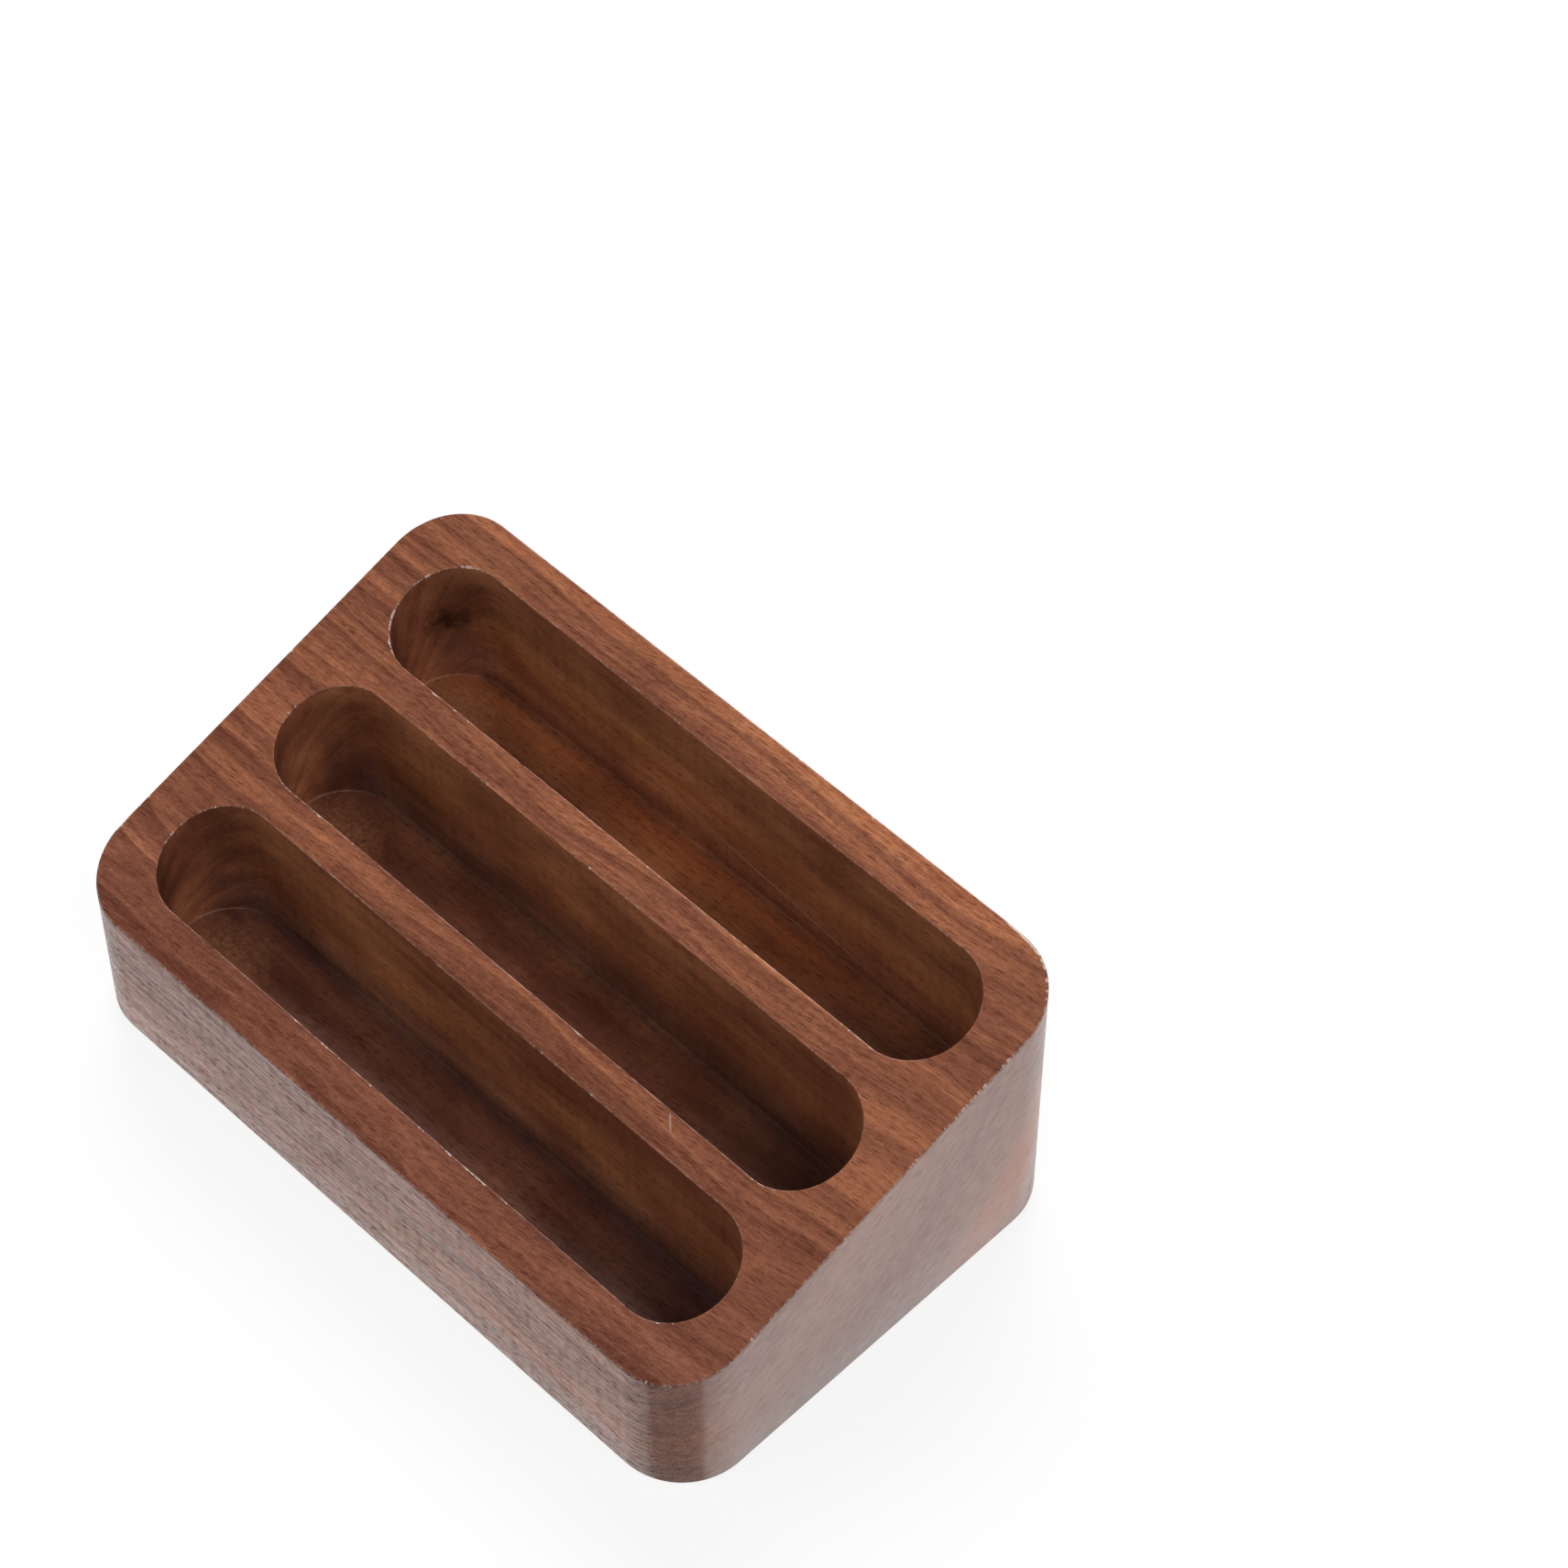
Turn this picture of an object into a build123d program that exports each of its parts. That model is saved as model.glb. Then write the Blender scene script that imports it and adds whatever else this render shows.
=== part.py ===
from build123d import *
import os

# A sloping pen tray: one walnut block with three round-ended slots, standing on four rubber pads.
# X runs along the slots, Y from the low front to the high back, and Z up from the desk.
# The origin is on the desk, under the middle of the tray. All sizes are in millimetres.

# Driving dimensions of the block, heights measured from the underside of the wood
length = 130.0
depth = 80.0
front_height = 26.0
back_height = 50.0
corner_radius = 11.5
eased_edge = 0.2

# Driving dimensions of the slots, given as the wood that is left around them
slot_count = 3
end_wall = 7.5
long_wall = 6.75
rib = 5.5
front_floor = 7.4
slot_floor_radius = 0.4

# Driving dimensions of the pads and of the shallow recesses that they are glued into
pad_diameter = 10.0
pad_thickness = 1.6
pad_bevel = 0.4
pad_margin = 9.0
recess_depth = 0.6
recess_clearance = 0.15

# Sizes that follow from the ones above
slot_length = length - 2 * end_wall
slot_width = (depth - 2 * long_wall - (slot_count - 1) * rib) / slot_count
slot_pitch = slot_width + rib
rise_per_mm = (back_height - front_height) / depth
pad_stand = pad_thickness - recess_depth
pad_x = length / 2 - pad_margin - pad_diameter / 2
pad_y = depth / 2 - pad_margin - pad_diameter / 2
slope = Plane(origin=(0, -depth / 2, front_height), z_dir=(0, -rise_per_mm, 1))


def slot_middle(index):
    """Place of a slot's long centre line in Y, counted from the front."""
    return -depth / 2 + long_wall + slot_width / 2 + index * slot_pitch


def top_height(y):
    """Height of the sloping top over the underside of the wood."""
    return front_height + rise_per_mm * (y + depth / 2)


# Every slot is as deep as the front one, so their level floors climb in steps under the slope
slot_depth = top_height(slot_middle(0)) - front_floor


def wedge_blank():
    """The block before milling: a round-cornered prism sawn off along the sloping top."""
    prism = extrude(RectangleRounded(length, depth, corner_radius), back_height)
    return split(prism, bisect_by=slope, keep=Keep.BOTTOM)


def slot_void(index):
    """What the cutter takes out for one slot: upright walls, a level floor, a rounded foot."""
    y = slot_middle(index)
    floor = top_height(y) - slot_depth
    void = extrude(Pos(0, y, floor) * SlotOverall(slot_length, slot_width), back_height)
    foot = void.faces().sort_by(Axis.Z)[0].edges()
    return fillet(foot, slot_floor_radius)


def pad_places():
    """The four pads' names and centres; left and right are seen from the low front."""
    for row, y in (("front", -pad_y), ("back", pad_y)):
        for side, x in (("left", -pad_x), ("right", pad_x)):
            yield f"pad_{row}_{side}", x, y


def tray_block():
    """The walnut block with its slots, its narrowly bevelled edges and the recesses for the pads."""
    block = wedge_blank()
    for index in range(slot_count):
        block -= slot_void(index)
    sloping_top = block.faces().filter_by(slope).sort_by(Axis.Z)[-1]
    underside = block.faces().sort_by(Axis.Z)[0]
    block = chamfer(sloping_top.edges() + underside.edges(), eased_edge)
    recess = extrude(Circle(pad_diameter / 2 + recess_clearance), recess_depth)
    for name, x, y in pad_places():
        block -= Pos(x, y) * recess
    return Pos(0, 0, pad_stand) * block


def pad():
    """A moulded rubber disc with its lower rim bevelled, standing on the desk."""
    disc = extrude(Circle(pad_diameter / 2), pad_thickness)
    lower_rim = disc.faces().sort_by(Axis.Z)[0].edges()
    return chamfer(lower_rim, pad_bevel)


os.makedirs("parts", exist_ok=True)
export_step(tray_block(), "parts/tray_block.step")
for name, x, y in pad_places():
    export_step(Pos(x, y) * pad(), f"parts/{name}.step")
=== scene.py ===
from math import radians
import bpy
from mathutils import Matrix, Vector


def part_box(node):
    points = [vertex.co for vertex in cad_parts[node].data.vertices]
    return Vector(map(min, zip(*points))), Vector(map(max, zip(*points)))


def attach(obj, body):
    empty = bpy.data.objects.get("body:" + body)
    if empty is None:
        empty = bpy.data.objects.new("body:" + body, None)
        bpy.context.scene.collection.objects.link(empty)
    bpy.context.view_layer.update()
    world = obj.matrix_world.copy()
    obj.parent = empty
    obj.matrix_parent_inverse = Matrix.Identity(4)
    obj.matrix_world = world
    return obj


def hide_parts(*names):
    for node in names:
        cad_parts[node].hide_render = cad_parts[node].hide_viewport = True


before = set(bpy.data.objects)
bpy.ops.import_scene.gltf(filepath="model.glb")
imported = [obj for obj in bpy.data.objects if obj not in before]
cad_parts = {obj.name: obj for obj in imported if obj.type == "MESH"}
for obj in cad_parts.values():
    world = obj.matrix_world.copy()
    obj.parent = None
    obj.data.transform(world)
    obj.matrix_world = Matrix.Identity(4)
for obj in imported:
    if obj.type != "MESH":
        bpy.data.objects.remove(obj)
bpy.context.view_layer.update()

from types import SimpleNamespace

import bmesh
import bpy
import numpy as np
from mathutils import Euler, Matrix

# Tray block: one piece of solid walnut, sawn to a wedge and milled straight down three times.
# Its edges are broken by hand with sandpaper, so they wander a little and are splintered here
# and there. Nothing is fixed to it but the pads, which are glued into shallow recesses below.
MM = 0.001
block_low, block_high = (np.array(corner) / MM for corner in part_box("tray_block"))
half_length, half_depth = block_high[:2]
underside = block_low[2]
front_height, back_height = 26.0, 50.0
corner_radius = 11.5
slot_middles = (-24.0, 0.0, 24.0)
slot_floors = (8.4, 15.6, 22.8)
slot_radius = 9.25
slot_reach = 48.25
floor_radius = 0.4
rib_lines = (-12.0, 12.0)
recess_x, recess_y, recess_radius, recess_depth = 51.0, 26.0, 5.15, 0.6

# Widths of the broken edges, of the strip of the top that belongs to the outside's rows, and of
# the flat strips next to an edge, down the wall and on the top, that keep its shading to itself
outer_break, rim_break, bottom_break = 0.2, 0.14, 0.2
top_margin = 1.2
lip, collar = 0.1, 0.08

# Shares of the steps along an edge that are splintered: a few anywhere, more where the cutter
# tore the fibres out, and most at the back slot's left end and the back right corner
chips_anywhere = 0.01
chips_in_front = 0.07
chips_at_left_end = (0.12, 0.12, 0.35)
chips_at_right_side = 0.10
chips_at_back_right = 0.5
worn_corner, worn_reach = (55.0, 40.0), 12.0

# Numbers of steps in the rows of points: straight walls, end walls, and the turn of a corner
STRAIGHT_STEPS = 320
SIDE_STEPS = 110
TURN_STEPS = (12, 60)


def top_height(y):
    """Height of the sloping top: a plane that rises from the front to the back."""
    return underside + front_height + (back_height - front_height) * (y / half_depth + 1) / 2


def line(start, end, steps):
    """Evenly spaced points from start to end."""
    return np.linspace(start, end, steps + 1)


def arc(centre, radius, start, end, steps):
    """Points on a circle: centre plus radius times the cosine and sine of an angle in degrees."""
    angle = np.radians(np.linspace(start, end, steps + 1))
    return np.asarray(centre) + radius * np.stack([np.cos(angle), np.sin(angle)], axis=1)


def joined(runs):
    """One closed path out of runs that follow each other, each run without its last point."""
    return np.concatenate([run[:-1] for run in runs])


def mirrored(run):
    """The same run on the left end, gone through the other way."""
    return run[::-1] * (-1, 1)


def turn(side, inset):
    """A quarter round corner of the right end with the short straight run before or after it."""
    x, y = half_length - corner_radius, side * (half_depth - inset)
    short = line((slot_reach, y), (x, y), TURN_STEPS[0])
    centre = (x, side * (half_depth - corner_radius))
    bend = arc(centre, corner_radius - inset, side * 90, 0, TURN_STEPS[1])
    run = np.concatenate([short, bend[1:]])
    return run if side < 0 else run[::-1]


def cell_runs(index, inset):
    """Runs of the outline of the top round one slot: front, three on the right end, and back.

    Neighbouring cells meet on the line halfway between their slots, and the outermost runs
    follow the block's outline at a distance inset from its wall.
    """
    bounds = (inset - half_depth, *rib_lines, half_depth - inset)
    low, high = bounds[index], bounds[index + 1]
    x = half_length - inset
    side_low = corner_radius - half_depth if index == 0 else low
    side_high = half_depth - corner_radius if index == 2 else high
    flat = sum(TURN_STEPS)
    lower = turn(-1, inset) if index == 0 else line((slot_reach, low), (x, low), flat)
    upper = turn(1, inset) if index == 2 else line((x, high), (slot_reach, high), flat)
    front = line((-slot_reach, low), (slot_reach, low), STRAIGHT_STEPS)
    back = line((slot_reach, high), (-slot_reach, high), STRAIGHT_STEPS)
    return front, lower, line((x, side_low), (x, side_high), SIDE_STEPS), upper, back


def cell_outline(index, inset):
    """The closed outline of one slot's part of the top, anticlockwise from its front left."""
    front, lower, side, upper, back = cell_runs(index, inset)
    left = [mirrored(run) for run in (upper, side, lower)]
    return joined([front, lower, side, upper, back, *left])


def block_outline(inset):
    """The closed outline of the whole block at a distance inset from its wall."""
    cells = [cell_runs(index, inset) for index in range(3)]
    right = [cells[0][1], cells[0][2], cells[1][2], cells[2][2], cells[2][3]]
    left = [mirrored(run) for run in right[::-1]]
    return joined([cells[0][0], *right, cells[2][4], *left])


def slot_path(middle):
    """Centre-line point and outward direction for each step round a slot."""
    end_steps = SIDE_STEPS + 2 * sum(TURN_STEPS)
    forward = line((-slot_reach, middle), (slot_reach, middle), STRAIGHT_STEPS)
    ends = np.full((end_steps + 1, 2), (slot_reach, middle))
    spine = joined([forward, ends, forward[::-1], ends * (-1, 1)])
    down = np.tile((0.0, -1.0), (STRAIGHT_STEPS + 1, 1))
    round_end = arc((0, 0), 1.0, -90, 90, end_steps)
    outward = joined([down, round_end, -down, -round_end])
    return spine, outward


def wander(rng, count, reach):
    """Smooth closed noise of unit spread: white noise blurred over reach steps."""
    step = np.minimum(np.arange(count), count - np.arange(count))
    blur = np.exp(-0.5 * (step / reach) ** 2)
    noise = np.fft.irfft(np.fft.rfft(rng.standard_normal(count)) * np.fft.rfft(blur), count)
    return noise / noise.std()


def splinters(rng, count, rate, reach, depth):
    """Sparse bites out of an edge: random spikes, each blurred over reach steps."""
    step = np.minimum(np.arange(count), count - np.arange(count))
    blur = np.exp(-0.5 * (step / reach) ** 2)
    spikes = (rng.random(count) < rate) * rng.uniform(0.35, 1.0, count) * depth
    return np.fft.irfft(np.fft.rfft(spikes) * np.fft.rfft(blur), count).clip(0, depth)


def broken_edge(tip, top_side, wall_side, bite):
    """Rows across a broken edge, from the top to the wall.

    Each row is a point on a quadratic curve between the two sides. Its middle handle is drawn
    out to the sharp tip where the edge is only sanded, and pulled in where a splinter is out.
    """
    middle = (top_side + wall_side) / 2
    swell = (0.75 - 1.2 * bite)[:, None]
    handle = middle + swell * (tip - middle)
    s = np.linspace(0, 1, 4)[:, None, None]
    return (1 - s) ** 2 * top_side + 2 * s * (1 - s) * handle + s ** 2 * wall_side


def raised(plan, height):
    """Plan points with a height each."""
    return np.concatenate([plan, np.broadcast_to(height, plan.shape[:-1])[..., None]], axis=-1)


def on_top(plan):
    """Plan points lifted onto the sloping top."""
    return raised(plan, top_height(plan[..., 1]))


def slot_surface(index):
    """One slot and the top round it, as rows of points from the floor's middle to the cell outline.

    The floor is rings at growing distance from the slot's centre line, the foot a quarter round,
    the wall upright, and past the broken rim the rows spread out to the outline. With the rows come
    values for the material: edge, chip (which also carries a pale painted highlight low on the foot
    at the left end), end grain (none here), and depth, which is 1 at the top of the wall, 2 at its
    foot, 3 on the floor, and 0 outside the slot.
    """
    rng = np.random.default_rng(40 + index)
    spine, outward = slot_path(slot_middles[index])
    count = len(spine)
    floor = slot_floors[index]
    front_side = np.clip(-outward[:, 1], 0, 1)
    left_end = np.clip(-outward[:, 0], 0, 1)
    rate = chips_anywhere + chips_in_front * front_side + chips_at_left_end[index] * left_end
    rate *= (0.3 + wander(rng, count, 14)).clip(0, 2)
    bite = splinters(rng, count, rate, 0.6, 0.16) + splinters(rng, count, 0.3 * rate, 2.0, 0.12)
    width = (rim_break + 0.02 * wander(rng, count, 5)).clip(0.1, 0.2) + 0.6 * bite
    rim = spine + slot_radius * outward
    tip = on_top(rim)
    top_side = on_top(rim + width[:, None] * outward)
    wall_side = tip - (0, 0, 1) * (0.9 * width)[:, None]

    inner = slot_radius - floor_radius
    border_width, border_depth = 2.2, 2.6
    flat = [raised(spine + r * outward, floor) for r in (0, inner - border_width, inner)]
    bend = np.radians(np.linspace(15, 90, 6))
    foot = [raised(spine + (inner + floor_radius * np.sin(a)) * outward,
                   floor + floor_radius * (1 - np.cos(a))) for a in bend]
    below = wall_side - (0, 0, lip)
    wall = [foot[-1] + t * (below - foot[-1]) for t in np.linspace(0, 1, 4)[1:]]
    edge = broken_edge(tip, top_side, wall_side, bite)[::-1]
    start = rim + outward
    near = [on_top(rim + (width + collar)[:, None] * outward), on_top(start)]
    way_out = cell_outline(index, top_margin) - start
    spread = [on_top(start + t * way_out) for t in np.linspace(0, 1, 3)[1:]]

    rows = np.stack([*flat, *foot, *wall, *edge, *near, *spread])
    first = len(flat) + len(foot) + len(wall)
    arris = np.zeros(rows.shape[:2])
    arris[first:first + len(edge)] = 1
    chip_and_foot_highlight = arris * bite
    # A pale painted highlight low on the foot at the left end, carried in the chip values
    foot_painted_highlight = 0.062
    chip_and_foot_highlight[len(flat):len(flat) + 2] = foot_painted_highlight * left_end ** 0.5
    up_foot = np.linspace(border_depth, 2, len(foot))
    up_wall = np.linspace(2, 1, len(wall) + 1)[1:]
    depth = np.zeros(rows.shape[:2])
    depth[:first] = np.array([3.0, 3.0, border_depth, *up_foot, *up_wall])[:, None]
    return rows, arris, chip_and_foot_highlight, np.zeros(rows.shape[:2]), depth


def skin_surface():
    """The outside of the block, as rows from the margin of the top down to the underside.

    The top edge is a broken edge like the slots', the sides are upright, and the lower edge is a
    quarter round. The end grain is where the wall faces along X.
    """
    rng = np.random.default_rng(7)
    wall = block_outline(0)
    inward = block_outline(1) - wall
    count = len(wall)
    right_end = np.clip(-inward[:, 0], 0, 1)
    back_right = np.exp(-np.sum((wall - worn_corner) ** 2, axis=1) / worn_reach)
    rate = chips_anywhere + chips_at_right_side * right_end
    rate = rate * (0.4 + wander(rng, count, 10)).clip(0, 2) + chips_at_back_right * back_right
    bite = splinters(rng, count, 2.5 * rate, 0.5, 0.18)
    bite += splinters(rng, count, 0.1 * rate, 1.2, 0.12)
    bite += 0.25 * back_right * np.abs(wander(rng, count, 1.2)).clip(0, 1.2)
    ragged = 0.06 * right_end * np.abs(wander(rng, count, 1.0))
    width = (outer_break + ragged + 0.02 * wander(rng, count, 6)).clip(outer_break, 0.4) + 0.6 * bite
    tip = on_top(wall)
    top_side = on_top(wall + width[:, None] * inward)
    wall_side = tip - (0, 0, 1) * (0.9 * width)[:, None]
    near = on_top(wall + (width + collar)[:, None] * inward)
    margin = [on_top(wall + top_margin * inward), near]
    edge = broken_edge(tip, top_side, wall_side, bite)
    below = wall_side - (0, 0, lip)
    bottom = raised(wall, underside + bottom_break)
    side = [below + t * (bottom - below) for t in np.linspace(0, 1, 4)]
    ease = np.radians((30, 60, 90))
    low = [raised(wall + bottom_break * (1 - np.cos(a)) * inward,
                  underside + bottom_break * (1 - np.sin(a))) for a in ease]
    rows = np.stack([*margin, *edge, *side, *low])
    arris = np.zeros(rows.shape[:2])
    first = len(margin)
    arris[first:first + len(edge)] = 1
    chip_and_foot_highlight = arris * bite
    across = np.zeros(rows.shape[:2])
    across[first + 1:-1] = np.abs(inward[:, 0])
    return rows, arris, chip_and_foot_highlight, across, np.zeros(rows.shape[:2])


def underside_surface(flip_x, flip_y):
    """A quarter of the underside with one recess, as rows from the recess' middle outward.

    Round rows fill the recess, and the rest spread from its rim to the quarter's outline along
    straight rays from the middle of the recess.
    """
    outline = block_outline(bottom_break)
    start = np.argmin(np.hypot(outline[:, 0] - half_length, outline[:, 1]))
    end = np.argmin(np.hypot(outline[:, 0], outline[:, 1] - half_depth))
    edge = outline[start:end + 1]
    quarter = joined([edge, line(edge[-1], (0, 0), 40), line((0, 0), edge[0], 60)])
    middle = np.array((recess_x, recess_y))
    ray = quarter - middle
    ray /= np.linalg.norm(ray, axis=1)[:, None]
    rim = middle + recess_radius * ray
    ceiling = underside + recess_depth
    dish = [raised(middle + t * (rim - middle), ceiling) for t in (0, 0.5, 1)]
    spread = [raised(rim + t * (quarter - rim), underside) for t in np.linspace(0, 1, 5)]
    rows = np.stack([*dish, *spread]) * (flip_x, flip_y, 1)
    plain = np.zeros(rows.shape[:2])
    return rows, plain, plain, plain, plain


# Points closer than the weld are one point, and edges turned by more than the crease stay sharp
WELD, SLIVER = 2e-6, 1e-7
CREASE = radians(50)


def closed_mesh(name, surfaces, labels):
    """A mesh out of closed rows: quads between neighbouring rows, a value per point for each label."""
    points, quads, values, start = [], [], [], 0
    for rows, *marks in surfaces:
        row_count, step_count = rows.shape[:2]
        index = start + np.arange(row_count * step_count).reshape(row_count, step_count)
        ahead = np.roll(index, -1, axis=1)
        quad = np.stack([index[:-1], ahead[:-1], ahead[1:], index[1:]], axis=-1)
        points.append(rows.reshape(-1, 3) * MM)
        quads.append(quad.reshape(-1, 4))
        values.append(np.stack([mark.reshape(-1) for mark in marks]) if marks else None)
        start += row_count * step_count
    mesh = bpy.data.meshes.new(name)
    mesh.from_pydata(np.concatenate(points).tolist(), [], np.concatenate(quads).tolist())
    for place, label in enumerate(labels):
        layer = mesh.attributes.new(label, "FLOAT", "POINT")
        layer.data.foreach_set("value", np.concatenate([value[place] for value in values]))
    work = bmesh.new()
    work.from_mesh(mesh)
    bmesh.ops.remove_doubles(work, verts=work.verts, dist=WELD)
    bmesh.ops.dissolve_degenerate(work, edges=work.edges, dist=SLIVER)
    bmesh.ops.recalc_face_normals(work, faces=work.faces)
    work.to_mesh(mesh)
    work.free()
    mesh.shade_smooth()
    mesh.set_sharp_from_angle(angle=CREASE)
    return mesh


def new_piece(name, mesh, material):
    """An object with one material, standing at the origin of the shared frame."""
    piece = bpy.data.objects.new(name, mesh)
    bpy.context.scene.collection.objects.link(piece)
    mesh.materials.clear()
    mesh.materials.append(material)
    return piece


def node(tree, kind, inputs=None, **settings):
    """A new shader node; each input is given a value or linked to another node's output."""
    made = tree.nodes.new(kind)
    for name, value in settings.items():
        setattr(made, name, value)
    for name, value in (inputs or {}).items():
        if isinstance(value, bpy.types.NodeSocket):
            tree.links.new(value, made.inputs[name])
        else:
            made.inputs[name].default_value = value
    return made


def calc(tree, operation, first, second=0.0, third=0.0, clamp=False):
    """A sum, product or other plain operation on numbers."""
    inputs = {0: first, 1: second, 2: third}
    return node(tree, "ShaderNodeMath", inputs, operation=operation, use_clamp=clamp).outputs[0]


def times(tree, first, *others):
    """The product of numbers."""
    for other in others:
        first = calc(tree, "MULTIPLY", first, other)
    return first


def linear(tree, value, slope, start):
    """A straight line: slope times the value, plus a start."""
    return calc(tree, "MULTIPLY_ADD", value, slope, start)


def nudged(tree, total, value, weight):
    """A total moved by a weight times what a value between 0 and 1 has over its middle."""
    return linear(tree, calc(tree, "SUBTRACT", value, 0.5), weight, total)


def vector(tree, x, y, z):
    """Three numbers as one place."""
    return node(tree, "ShaderNodeCombineXYZ", {0: x, 1: y, 2: z}).outputs[0]


def stretched(tree, place, scales):
    """A place with each of its three numbers times a scale of its own."""
    inputs = {0: place, 1: scales}
    return node(tree, "ShaderNodeVectorMath", inputs, operation="MULTIPLY").outputs[0]


def noise(tree, place, detail=2.0, roughness=0.5, scale=1.0):
    """Smooth noise between 0 and 1, with scale waves in each unit of the place."""
    inputs = {"Vector": place, "Scale": scale, "Detail": detail, "Roughness": roughness}
    return node(tree, "ShaderNodeTexNoise", inputs).outputs[0]


def ramp(tree, factor, stops):
    """A colour for each factor, blended between (position, colour) stops."""
    made = node(tree, "ShaderNodeValToRGB", {0: factor})
    bands = made.color_ramp.elements
    while len(bands) < len(stops):
        bands.new(1.0)
    for band, (position, colour) in zip(bands, stops):
        band.position = position
        band.color = (*colour, 1.0)
    return made.outputs[0]


def grey_ramp(tree, factor, stops):
    """A brightness for each factor, blended between (position, brightness) stops."""
    return ramp(tree, factor, [(position, (grey, grey, grey)) for position, grey in stops])


def remap(tree, value, low, high, new_low=0.0, new_high=1.0):
    """A value stretched from low..high to another range, held at its ends."""
    inputs = {0: value, 1: low, 2: high, 3: new_low, 4: new_high}
    return node(tree, "ShaderNodeMapRange", inputs).outputs[0]


def blend(tree, factor, first, second, mode="MIX"):
    """Two colours mixed by a factor; each is three numbers or another node's output."""
    pair = [(*colour, 1.0) if isinstance(colour, tuple) else colour for colour in (first, second)]
    inputs = {0: factor, 6: pair[0], 7: pair[1]}
    return node(tree, "ShaderNodeMix", inputs, data_type="RGBA", blend_type=mode).outputs[2]


def tinted(tree, colour, factor, tint):
    """A colour times a tint, by a factor."""
    return blend(tree, factor, colour, tint, "MULTIPLY")


def attribute(tree, label):
    """A value that the mesh carries on its points."""
    return node(tree, "ShaderNodeAttribute", attribute_name=label).outputs["Fac"]


def wood_frame(tree):
    """Places in the wood, in millimetres, and what the mesh says about the surface there.

    The pith runs along X, in front of the block and above it. The radius is the distance from the
    pith, and the way round it is the angle times 100. Slow noise and a slight bow keep the rings
    from being perfect. The fibres lean a little against X, so their y and z are less by a share of x.
    """
    metres = node(tree, "ShaderNodeTexCoord").outputs["Object"]
    place = stretched(tree, metres, (1 / MM, 1 / MM, 1 / MM))
    x, y, z = node(tree, "ShaderNodeSeparateXYZ", {0: place}).outputs
    pith_y, pith_z, sway = -70.0, 83.0, 7.0
    slow = stretched(tree, place, (0.016, 0.03, 0.03))
    drift = node(tree, "ShaderNodeTexNoise", {"Vector": slow, "Scale": 1.0, "Detail": 2.0})
    drift_y, drift_z, _ = node(tree, "ShaderNodeSeparateXYZ", {0: drift.outputs[1]}).outputs
    bow = times(tree, x, linear(tree, x, -0.0002, -0.02))
    ring_y = nudged(tree, calc(tree, "ADD", y, bow), drift_y, sway)
    ring_z = nudged(tree, linear(tree, x, -0.03, z), drift_z, sway)
    from_y = calc(tree, "SUBTRACT", ring_y, pith_y)
    from_z = calc(tree, "SUBTRACT", ring_z, pith_z)
    squares = calc(tree, "ADD", times(tree, from_y, from_y), times(tree, from_z, from_z))
    slot_depth = attribute(tree, "slot_depth")
    across = attribute(tree, "across_grain")
    return SimpleNamespace(
        place=place, x=x, y=y, z=z,
        fibre_y=linear(tree, x, -0.10, y), fibre_z=linear(tree, x, -0.06, z),
        radius=calc(tree, "SQRT", squares),
        around=times(tree, calc(tree, "ARCTAN2", from_z, from_y), 100.0),
        slot_depth=slot_depth, milled=calc(tree, "MINIMUM", slot_depth, 1.0),
        across=across, end_grain=calc(tree, "POWER", across, 6.0),
        arris=attribute(tree, "arris"), chip_and_foot_highlight=attribute(tree, "chip_and_foot_highlight"),
        ragged=noise(tree, place, 3.0, 0.6, scale=0.55))


def ring_noise(tree, wood, scales, shift, detail, roughness=0.5):
    """Noise in the wood's own directions: along the grain, across the rings and along the rings."""
    place = vector(tree, linear(tree, wood.x, scales[0], shift),
                   times(tree, wood.radius, scales[1]), times(tree, wood.around, scales[2]))
    return noise(tree, place, detail, roughness)


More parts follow.
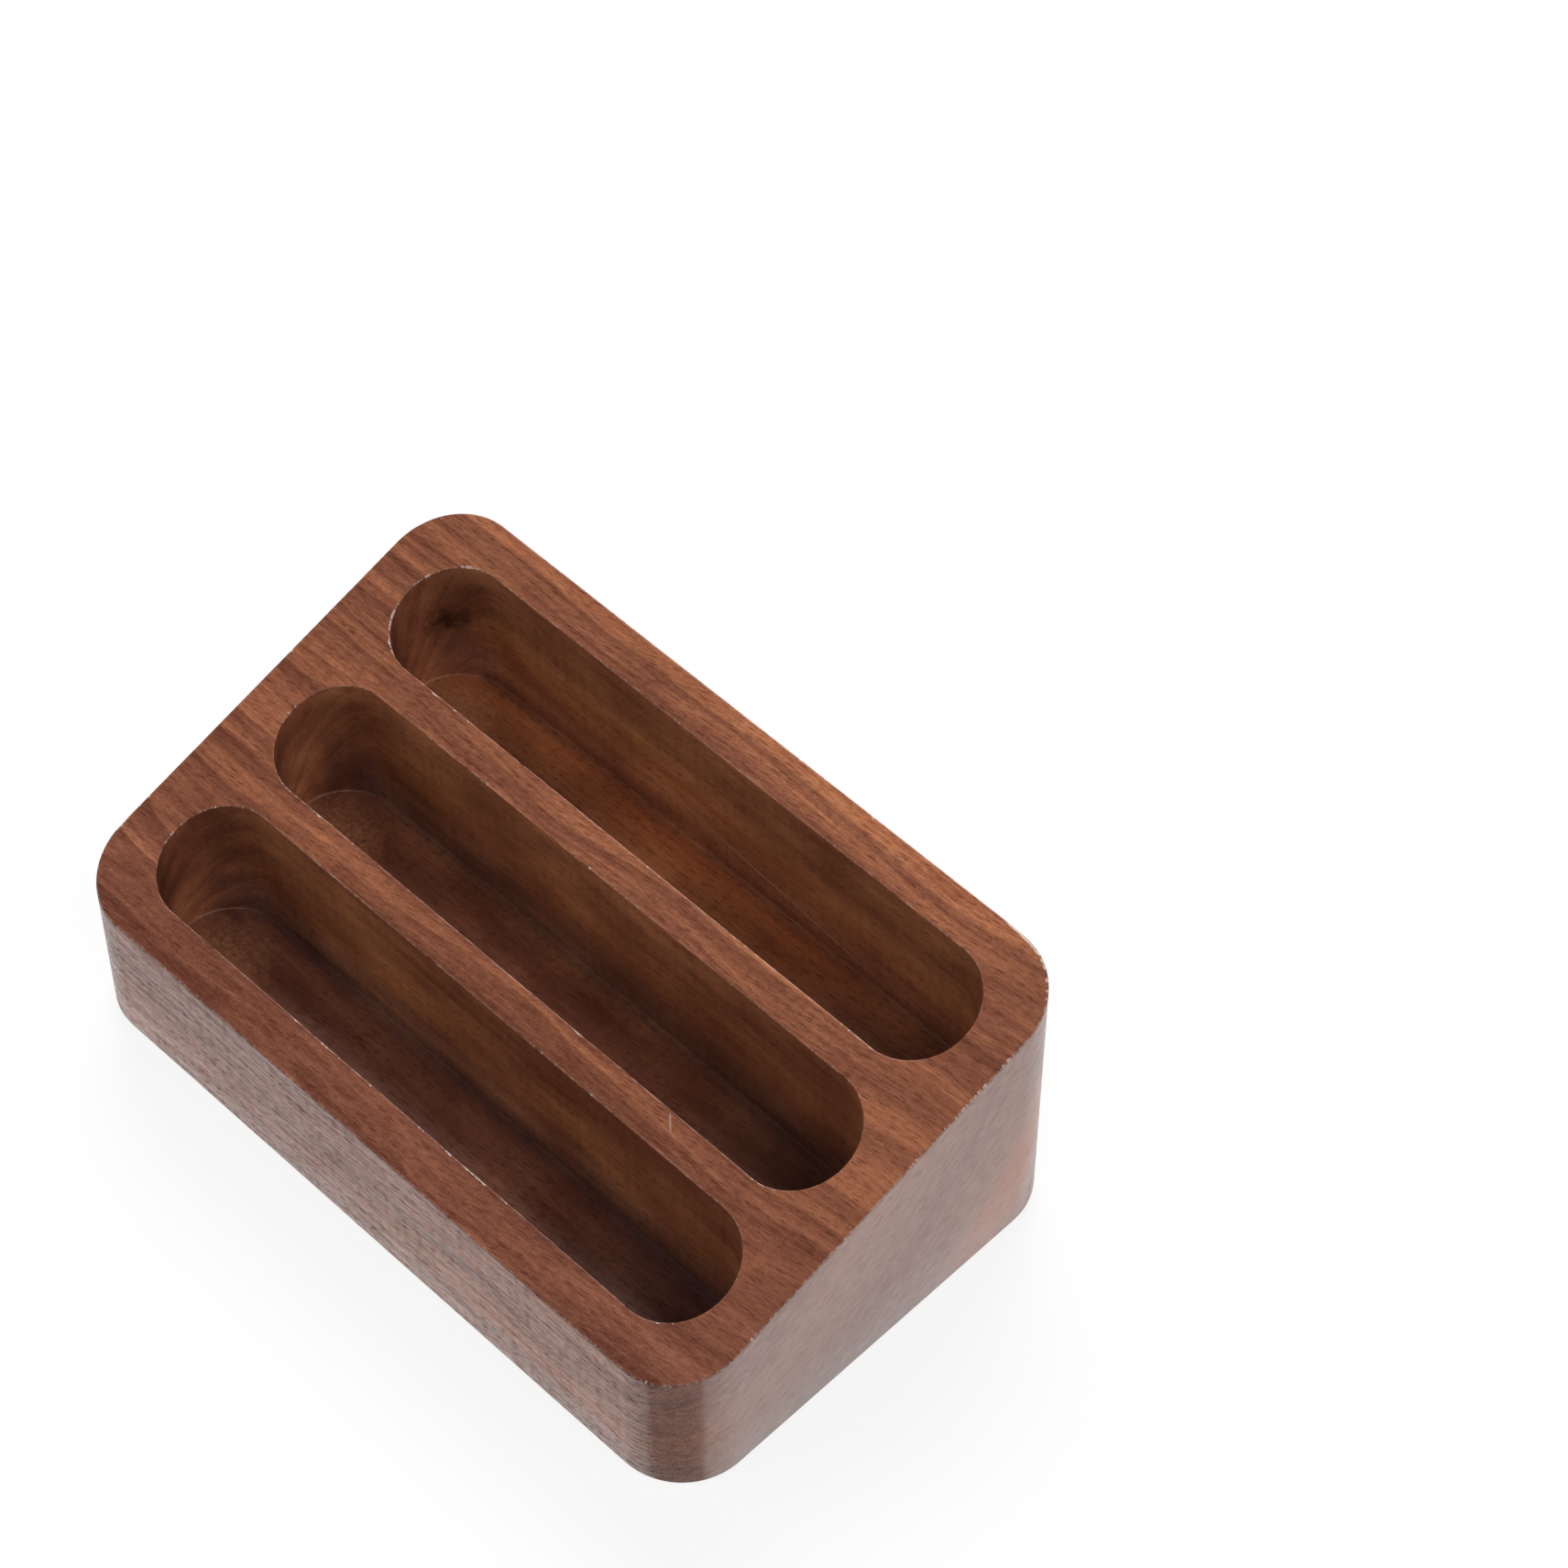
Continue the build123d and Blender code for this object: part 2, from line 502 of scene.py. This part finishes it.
def wood_figure(tree, wood):
    """Brightness of the wood, about a middle of 0.5, as a sum of steps at finer and finer scales.

    Light and dark zones go by the radius. Over them lie the year rings, each darkest near its end,
    and then streaks, lines, fibres and specks. Inside the slots the finer steps are weaker, and
    a cloudy noise takes their place over painted shade that darkens towards the right; on end
    grain and at the right end they are weaker too.
    """
    zones = remap(tree, wood.radius, 60.0, 140.0)
    zone_greys = [(0.02, 0.27), (0.08, 0.40), (0.14, 0.36), (0.20, 0.46), (0.25, 0.74),
                  (0.31, 0.66), (0.38, 0.64), (0.49, 0.37), (0.56, 0.55), (0.62, 0.58),
                  (0.67, 0.80), (0.72, 1.0), (0.79, 0.95), (0.86, 0.62), (0.94, 0.50)]
    broad = nudged(tree, 0.5, grey_ramp(tree, zones, zone_greys), 0.6)

    ring_width = 3.6
    uneven = ring_noise(tree, wood, (0.006, 0.11, 0.02), 5.0, 1.0)
    years = linear(tree, wood.radius, 1 / ring_width, times(tree, uneven, 3.0))
    year_greys = [(0.0, 0.75), (0.45, 0.62), (0.80, 0.25), (0.93, 0.12), (1.0, 0.72)]
    years = grey_ramp(tree, calc(tree, "FRACT", years), year_greys)
    streaks = ring_noise(tree, wood, (0.016, 0.50, 0.06), 3.0, 3.0, 0.6)
    lines = ring_noise(tree, wood, (0.09, 2.0, 0.6), 7.0, 2.0, 0.6)
    fibre_place = stretched(tree, vector(tree, wood.x, wood.fibre_y, wood.fibre_z), (0.55, 4.6, 4.6))
    fibres = noise(tree, fibre_place, 2.0, 0.65)
    speck = noise(tree, wood.place, 1.0, scale=2.6)
    full = nudged(tree, broad, years, remap(tree, wood.x, -44.0, -60.0, 0.26, 0.52))
    for grain, weight in ((streaks, 1.0), (lines, 0.75), (fibres, 0.65), (speck, 0.35)):
        full = nudged(tree, full, grain, weight)

    clear = linear(tree, wood.milled, -0.6, remap(tree, wood.x, 45.0, 62.0, 1.0, 0.8))
    clear = linear(tree, wood.end_grain, -0.55, clear)
    fine = times(tree, calc(tree, "SUBTRACT", full, broad), clear)
    smoke = noise(tree, stretched(tree, wood.place, (0.06, 0.12, 0.12)))
    # Painted shade: inside the slots the wood darkens towards the right
    painted_shade_right = calc(tree, "ADD", broad, remap(tree, wood.x, 0.0, 50.0, 0.02, -0.10))
    inside = nudged(tree, painted_shade_right, smoke, 0.9)
    tone = calc(tree, "ADD", fine, remap(tree, wood.milled, 0.0, 1.0, broad, inside))
    return SimpleNamespace(zones=zones, lines=lines, fibres=fibres, tone=tone)


def pores(tree, wood, size, stretch, reach, share, shift):
    """Dark dashes: the inside of long cells round scattered points, kept in a share of the cells."""
    cell = vector(tree, linear(tree, wood.x, 1 / stretch, shift),
                  calc(tree, "DIVIDE", wood.fibre_y, size), calc(tree, "DIVIDE", wood.fibre_z, size))
    scatter = node(tree, "ShaderNodeTexVoronoi", {"Vector": cell, "Scale": 1.0})
    pick = node(tree, "ShaderNodeSeparateColor", {0: scatter.outputs["Color"]}).outputs[0]
    inside = remap(tree, scatter.outputs["Distance"], reach, 0.45 * reach)
    return times(tree, inside, calc(tree, "LESS_THAN", pick, share))


def slot_painted_light_and_shade(tree, wood, colour):
    """The colour inside the slots: a tint of the milled wood, then painted light and shade by depth,
    by slot and by place along X.

    Painted light makes the walls golden halfway down, and painted shade makes them dark at the
    foot, and the border of the floor too. At the left end the wall that faces along the slot gets
    painted light, and the turn into it painted shade low down. The floors get painted shade that
    differs from slot to slot and is cooler towards the right.
    """
    colour = tinted(tree, colour, wood.milled, (0.98, 1.06, 1.03))
    # Painted light halfway down the walls, painted shade at their foot and at the floor's border
    depth_painted_light_and_shade = ramp(tree, remap(tree, wood.slot_depth, 1.0, 3.0), [
        (0.0, (0.92, 0.90, 0.87)), (0.16, (1.0, 1.01, 0.95)), (0.30, (1.38, 1.48, 1.34)),
        (0.41, (1.20, 1.48, 1.78)), (0.50, (0.75, 1.0, 1.42)), (0.80, (0.68, 0.78, 1.0)),
        (1.0, (1.0, 1.0, 1.0))])
    but_left_end = times(tree, wood.milled, remap(tree, wood.x, -55.5, -50.5))
    colour = tinted(tree, colour, but_left_end, depth_painted_light_and_shade)
    # Painted light on the wall at the far left end
    far_end_painted_light = times(tree, wood.milled, remap(tree, wood.x, -56.4, -57.5))
    colour = tinted(tree, colour, far_end_painted_light, (1.36, 1.32, 1.36))
    # Painted shade low down in the turn into the left end
    end_turn_painted_shade = times(tree, remap(tree, wood.x, -49.0, -52.0), remap(tree, wood.x, -57.4, -56.0),
                     remap(tree, wood.slot_depth, 1.35, 1.75), remap(tree, wood.slot_depth, 2.6, 2.3))
    colour = tinted(tree, colour, end_turn_painted_shade, (0.76, 0.78, 0.98))
    on_floor = remap(tree, wood.slot_depth, 2.1, 2.5)
    # Painted shade on the floors, different for each slot
    floor_painted_shade = ramp(tree, remap(tree, wood.y, slot_middles[0], slot_middles[2]), [
        (0.2, (0.68, 0.67, 0.82)), (0.5, (0.90, 0.90, 1.0)), (0.8, (0.86, 0.81, 0.76))])
    colour = tinted(tree, colour, on_floor, floor_painted_shade)
    # Cooler painted shade on the floors towards the right
    cool_end_painted_shade = times(tree, on_floor, remap(tree, wood.x, 20.0, 45.0))
    return tinted(tree, colour, cool_end_painted_shade, (1.0, 1.28, 1.58))


def spot(tree, wood, centre, radii):
    """How far a place is from a centre, in units of the three radii."""
    off = node(tree, "ShaderNodeVectorMath", {0: wood.place, 1: centre}, operation="SUBTRACT")
    off = node(tree, "ShaderNodeVectorMath", {0: off.outputs[0], 1: radii}, operation="DIVIDE")
    return node(tree, "ShaderNodeVectorMath", {0: off.outputs[0]}, operation="LENGTH").outputs[1]


def stroke(tree, off_line, off_middle, width, reach):
    """A thin mark: full close to its line, fading towards its two ends."""
    near = remap(tree, calc(tree, "ABSOLUTE", off_line), width, 0.3 * width)
    return times(tree, near, remap(tree, calc(tree, "ABSOLUTE", off_middle), reach, 0.5 * reach))


def tool_track(tree, wood):
    """A scratch that the cutter left along the back slot's wall, falling slightly towards the right."""
    off_line = linear(tree, wood.x, 0.118, calc(tree, "SUBTRACT", wood.z, 28.87))
    track = stroke(tree, off_line, calc(tree, "SUBTRACT", wood.x, 8.0), 0.22, 30.0)
    back_wall = slot_middles[2] + slot_radius
    on_wall = remap(tree, wood.y, back_wall - 0.25, back_wall - 0.10, 0.0, 0.55)
    return times(tree, track, on_wall, calc(tree, "LESS_THAN", wood.y, back_wall + 0.15))


def nick(tree, wood):
    """A short scratch across the front rib, broken up by the ragged noise."""
    from_x = calc(tree, "SUBTRACT", wood.x, 33.5)
    from_y = calc(tree, "ADD", wood.y, 10.6)
    off_line = linear(tree, from_x, 0.67, times(tree, from_y, 0.74))
    off_middle = linear(tree, from_x, 0.74, times(tree, from_y, -0.67))
    mark = stroke(tree, off_line, off_middle, 0.20, 1.6)
    return times(tree, mark, remap(tree, wood.ragged, 0.40, 0.55, 0.2, 0.6))


def plunge_marks(tree, wood):
    """Rubbed, swirled patches at the left ends of the floors, where the cutter went in."""
    patch_x, patch_shift, patch_radii = -50.0, -1.5, (8.0, 7.0, 1.0)
    near = [spot(tree, wood, (patch_x, middle + patch_shift, floor), patch_radii)
            for middle, floor in zip(slot_middles, slot_floors)]
    nearest = calc(tree, "MINIMUM", calc(tree, "MINIMUM", near[0], near[1]), near[2])
    nearest = nudged(tree, nearest, wood.ragged, 1.0)
    swirl = noise(tree, wood.place, 4.0, 0.7, scale=1.6)
    return times(tree, remap(tree, nearest, 1.25, 0.5), remap(tree, swirl, 0.38, 0.62, 0.10, 0.60),
                 wood.milled)


def walnut_material():
    """Oiled walnut as a solid texture: zones, year rings, streaks, fibres, pores, tints and marks."""
    material = bpy.data.materials.new("oiled_walnut")
    material.use_nodes = True
    tree = material.node_tree
    wood = wood_frame(tree)
    figure = wood_figure(tree, wood)
    colour = ramp(tree, figure.tone, [
        (0.0, (0.098, 0.029, 0.015)), (0.25, (0.146, 0.046, 0.024)), (0.5, (0.217, 0.073, 0.038)),
        (0.75, (0.324, 0.116, 0.056)), (1.0, (0.480, 0.184, 0.084))])
    pore = calc(tree, "MAXIMUM", pores(tree, wood, 0.30, 3.4, 0.36, 0.5, 0.0),
                pores(tree, wood, 0.20, 2.0, 0.38, 0.5, 40.0))
    pore_dark = (0.052, 0.017, 0.010)
    colour = blend(tree, times(tree, pore, 0.62), colour, pore_dark)
    # Painted light and shade inside the slots
    colour = slot_painted_light_and_shade(tree, wood, colour)

    # The end grain is brushed by the sanding belt. Its paler, greyer colour is partly the wood and
    # partly painted sheen, and where the corners turn into it there is painted shade
    corner_painted_shade = (0.05, 0.040, 0.040)
    corner_turn_shade = times(tree, wood.across, calc(tree, "SUBTRACT", 1.0, wood.across), 1.3)
    colour = blend(tree, corner_turn_shade, colour, corner_painted_shade)
    brush_along = linear(tree, wood.z, 0.14, times(tree, wood.y, 0.30))
    brush_across = linear(tree, wood.z, 1.5, times(tree, wood.y, -0.70))
    sanding = noise(tree, vector(tree, wood.x, brush_along, brush_across), 3.0, 0.7)
    end_tone = nudged(tree, figure.tone, sanding, 2.8)
    # Paler, greyer end grain: partly the wood's own colour, partly painted sheen
    end_greys_and_sheen = ramp(tree, end_tone, [(0.2, (0.27, 0.145, 0.118)), (0.8, (0.41, 0.255, 0.207))])
    colour = blend(tree, times(tree, wood.end_grain, 0.60), colour, end_greys_and_sheen)

    # One zone of the rings is warmer, and the one nearest the pith cooler
    warm = times(tree, remap(tree, figure.zones, 0.656, 0.736), remap(tree, figure.zones, 0.90, 0.80))
    colour = tinted(tree, colour, warm, (1.12, 0.90, 0.76))
    colour = tinted(tree, colour, remap(tree, figure.zones, 0.16, 0.04), (1.0, 1.03, 1.12))

    # A small dark knot in the left end of the back slot, with a ragged border
    knot_dark = (0.035, 0.012, 0.008)
    knot = spot(tree, wood, (-55.6, 29.6, 36.0), (4.2, 4.2, 3.2))
    knot = remap(tree, linear(tree, wood.ragged, 1.6, knot), 2.0, 1.0, 0.0, 0.88)
    colour = blend(tree, knot, colour, knot_dark)

    # Pale bare fibres where an edge is rubbed or torn and in scratches, a pale painted highlight low
    # on the foot at the left ends, and rubbed floors
    bare_wood_and_highlight, rubbed_wood = (0.56, 0.43, 0.36), (0.49, 0.215, 0.11)
    patchy = remap(tree, noise(tree, wood.place, 3.0, 0.7, scale=1.4), 0.50, 0.70, 0.0, 0.40)
    rubbed = times(tree, wood.arris, patchy, linear(tree, wood.across, 1.2, 0.8))
    # The chip values bring the painted highlight on the foot as well as torn edges
    torn_and_foot_highlight = remap(tree, wood.chip_and_foot_highlight, 0.03, 0.12, 0.0, 0.85)
    edges = calc(tree, "MAXIMUM", rubbed, torn_and_foot_highlight)
    scratches = calc(tree, "MAXIMUM", tool_track(tree, wood), nick(tree, wood))
    colour = blend(tree, calc(tree, "MAXIMUM", edges, scratches), colour, bare_wood_and_highlight)
    colour = blend(tree, plunge_marks(tree, wood), colour, rubbed_wood)

    # The oil is a film that the pores, the broken edges and the milled walls have less of
    film = remap(tree, calc(tree, "ADD", figure.lines, figure.fibres), 0.84, 1.16, 0.50, 1.10)
    film = linear(tree, pore, -0.7, film)
    brushed = remap(tree, sanding, 0.3, 0.7, 0.74, 0.90)
    film = remap(tree, wood.end_grain, 0.0, 1.0, film, brushed)
    film = times(tree, film, linear(tree, wood.arris, -0.6, 1.0))
    film = calc(tree, "MULTIPLY", film, linear(tree, wood.milled, -0.9, 1.0), clamp=True)
    relief = linear(tree, figure.fibres, 0.35, times(tree, pore, -0.8))
    bump = node(tree, "ShaderNodeBump", {"Height": relief, "Strength": 0.3, "Distance": 0.12 * MM})
    shader = tree.nodes["Principled BSDF"]
    tree.links.new(colour, shader.inputs["Base Color"])
    tree.links.new(linear(tree, figure.fibres, 0.2, 0.5), shader.inputs["Roughness"])
    tree.links.new(bump.outputs[0], shader.inputs["Normal"])
    tree.links.new(film, shader.inputs["Coat Weight"])
    shader.inputs["Specular IOR Level"].default_value = 0.0
    shader.inputs["Coat IOR"].default_value = 1.75
    shader.inputs["Coat Roughness"].default_value = 0.22
    return material


surfaces = [slot_surface(index) for index in range(3)]
surfaces.append(skin_surface())
surfaces += [underside_surface(flip_x, flip_y) for flip_x in (1, -1) for flip_y in (1, -1)]
block_mesh = closed_mesh("tray_block", surfaces, ("arris", "chip_and_foot_highlight", "across_grain", "slot_depth"))
block = new_piece("walnut_block", block_mesh, walnut_material())
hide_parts("tray_block")
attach(block, "root")

# Pads: four moulded rubber discs, pressed with glue into the recesses of the underside.
# Their lower rims are bevelled, and their faces have the dull skin of the mould.
pad_radius, pad_thickness, pad_bevel = 5.0, 1.6, 0.4
PAD_STEPS = 96


def pad_surface(x, y):
    """A disc as rows of circles, whose profile goes from the middle of the foot round to the top.

    The bevel is a quarter round: its radius and height follow the sine and cosine of an angle.
    """
    bend = np.radians(np.linspace(0, 90, 6))
    foot = (0, 0.5 * pad_radius, pad_radius - 1.6 * pad_bevel)
    r = np.concatenate([foot, pad_radius - pad_bevel * (1 - np.sin(bend)), (pad_radius, pad_radius, 0)])
    upper = (0.6 * pad_thickness, pad_thickness, pad_thickness)
    z = np.concatenate([(0, 0, 0), pad_bevel * (1 - np.cos(bend)), upper])
    ring = arc((0, 0), 1.0, 0, 360, PAD_STEPS)[:-1]
    rows = raised(r[:, None, None] * ring + (x, y), z[:, None])
    return (rows,)


def rubber_material():
    """Dull black rubber with a fine moulded grain and a little dust."""
    material = bpy.data.materials.new("moulded_rubber")
    material.use_nodes = True
    tree = material.node_tree
    shader = tree.nodes["Principled BSDF"]
    place = node(tree, "ShaderNodeTexCoord").outputs["Object"]
    fine = noise(tree, place, 3.0, scale=6.0 / MM)
    dust = noise(tree, place, 4.0, scale=0.9 / MM)
    colour = ramp(tree, dust, [(0.35, (0.030, 0.030, 0.032)), (0.60, (0.042, 0.042, 0.044)),
                               (0.80, (0.075, 0.073, 0.070))])
    bump = node(tree, "ShaderNodeBump", {"Height": fine, "Strength": 0.4, "Distance": 0.05 * MM})
    tree.links.new(colour, shader.inputs["Base Color"])
    tree.links.new(remap(tree, dust, 0.3, 0.8, 0.62, 0.85), shader.inputs["Roughness"])
    tree.links.new(bump.outputs[0], shader.inputs["Normal"])
    return material


rubber = rubber_material()
for side_y, row in ((-1, "front"), (1, "back")):
    for side_x, side in ((-1, "left"), (1, "right")):
        surface = pad_surface(side_x * recess_x, side_y * recess_y)
        pad_name = f"pad_{row}_{side}"
        pad = new_piece(f"rubber_{pad_name}", closed_mesh(pad_name, [surface], ()), rubber)
        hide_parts(pad_name)
        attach(pad, "root")

# Stage: a white paper table that runs out of the picture. To the camera and in the wood's sheen it
# is almost white by itself, and it keeps a faint shadow of the tray. Off the near corner lies a
# patch of painted shade that only reflections see, which puts a dark stripe down that corner.
floor_reach = 9.0
floor_mesh = bpy.data.meshes.new("stage_floor")
floor_corners = [(side_x * floor_reach, side_y * floor_reach, 0)
                 for side_x, side_y in ((-1, -1), (1, -1), (1, 1), (-1, 1))]
floor_mesh.from_pydata(floor_corners, [], [(0, 1, 2, 3)])
floor_material = bpy.data.materials.new("stage_floor")
floor_material.use_nodes = True
paper = floor_material.node_tree
paper_shader = paper.nodes["Principled BSDF"]
paper_place = node(paper, "ShaderNodeTexCoord").outputs["Object"]
paper_colour = grey_ramp(paper, noise(paper, paper_place), [(0.3, 0.96), (0.7, 0.97)])
paper.links.new(paper_colour, paper_shader.inputs["Base Color"])
paper_shader.inputs["Roughness"].default_value = 0.9
paper_shader.inputs["Specular IOR Level"].default_value = 0.0
paper_ray = node(paper, "ShaderNodeLightPath")
to_camera, to_sheen = paper_ray.outputs["Is Camera Ray"], paper_ray.outputs["Is Glossy Ray"]
paper_x, paper_y, _ = node(paper, "ShaderNodeSeparateXYZ", {0: paper_place}).outputs
# Painted shade on the floor off the near corner, seen only in reflections
shade_patch_left = remap(paper, linear(paper, paper_y, -0.09, paper_x), 0.0598, 0.0628)
shade_patch_back = remap(paper, linear(paper, paper_x, 0.25, paper_y), -0.0170, -0.0186)
painted_shade_patch = times(paper, shade_patch_left, shade_patch_back, to_sheen)
shade_patch_dark, paper_glow_share = -0.6, 0.86
glow_inputs = {"Color": (1, 1, 1, 1), "Strength": linear(paper, painted_shade_patch, shade_patch_dark, 1.0)}
paper_glow = node(paper, "ShaderNodeEmission", glow_inputs)
glow_share = calc(paper, "MULTIPLY_ADD", to_camera, paper_glow_share, to_sheen, clamp=True)
paper_inputs = {0: glow_share, 1: paper_shader.outputs[0], 2: paper_glow.outputs[0]}
paper_mix = node(paper, "ShaderNodeMixShader", paper_inputs)
paper.links.new(paper_mix.outputs[0], paper.nodes["Material Output"].inputs["Surface"])
floor = new_piece("stage_floor", floor_mesh, floor_material)

# Light: a dim grey room that is white to the camera, and four wide, soft lamps. The main one stands
# behind the tray, with weaker ones off its right end, its front left and above it.
world = bpy.data.worlds.new("room")
world.use_nodes = True
room = world.node_tree
seen = node(room, "ShaderNodeLightPath").outputs["Is Camera Ray"]
room_colour = blend(room, seen, (0.03, 0.03, 0.03), (1.0, 1.0, 1.0))
room.links.new(room_colour, room.nodes["Background"].inputs["Color"])
bpy.context.scene.world = world

lamp_spread = radians(40)
lamps = (("back", 222.0, 46.0, 2.75), ("right", 91.0, 48.0, 1.1),
         ("front_left", -42.0, 20.0, 0.95), ("above", 0.0, 62.0, 0.45))
for lamp_name, azimuth, elevation, strength in lamps:
    lamp_data = bpy.data.lights.new(lamp_name, "SUN")
    lamp_data.energy = strength
    lamp_data.angle = lamp_spread
    lamp = bpy.data.objects.new(lamp_name, lamp_data)
    lamp.rotation_euler = (radians(90 - elevation), 0, radians(azimuth))
    bpy.context.scene.collection.objects.link(lamp)

# Camera: a long lens, looking down on the near right corner of the tray, with the tray low and left
# in the picture as in the photograph.
camera_data = bpy.data.cameras.new("camera")
camera_data.sensor_width = 36.0
camera_data.lens = 112.585
camera = bpy.data.objects.new("camera", camera_data)
look_down, look_from, roll = radians(52.608), radians(44.575), radians(0.184)
aim = Euler((radians(90) - look_down, 0, look_from)).to_matrix() @ Matrix.Rotation(roll, 3, "Z")
camera.location = (0.31294, -0.27157, 0.61421)
camera.rotation_euler = aim.to_euler()
bpy.context.scene.collection.objects.link(camera)
bpy.context.scene.camera = camera
bpy.context.scene.view_settings.view_transform = "Standard"
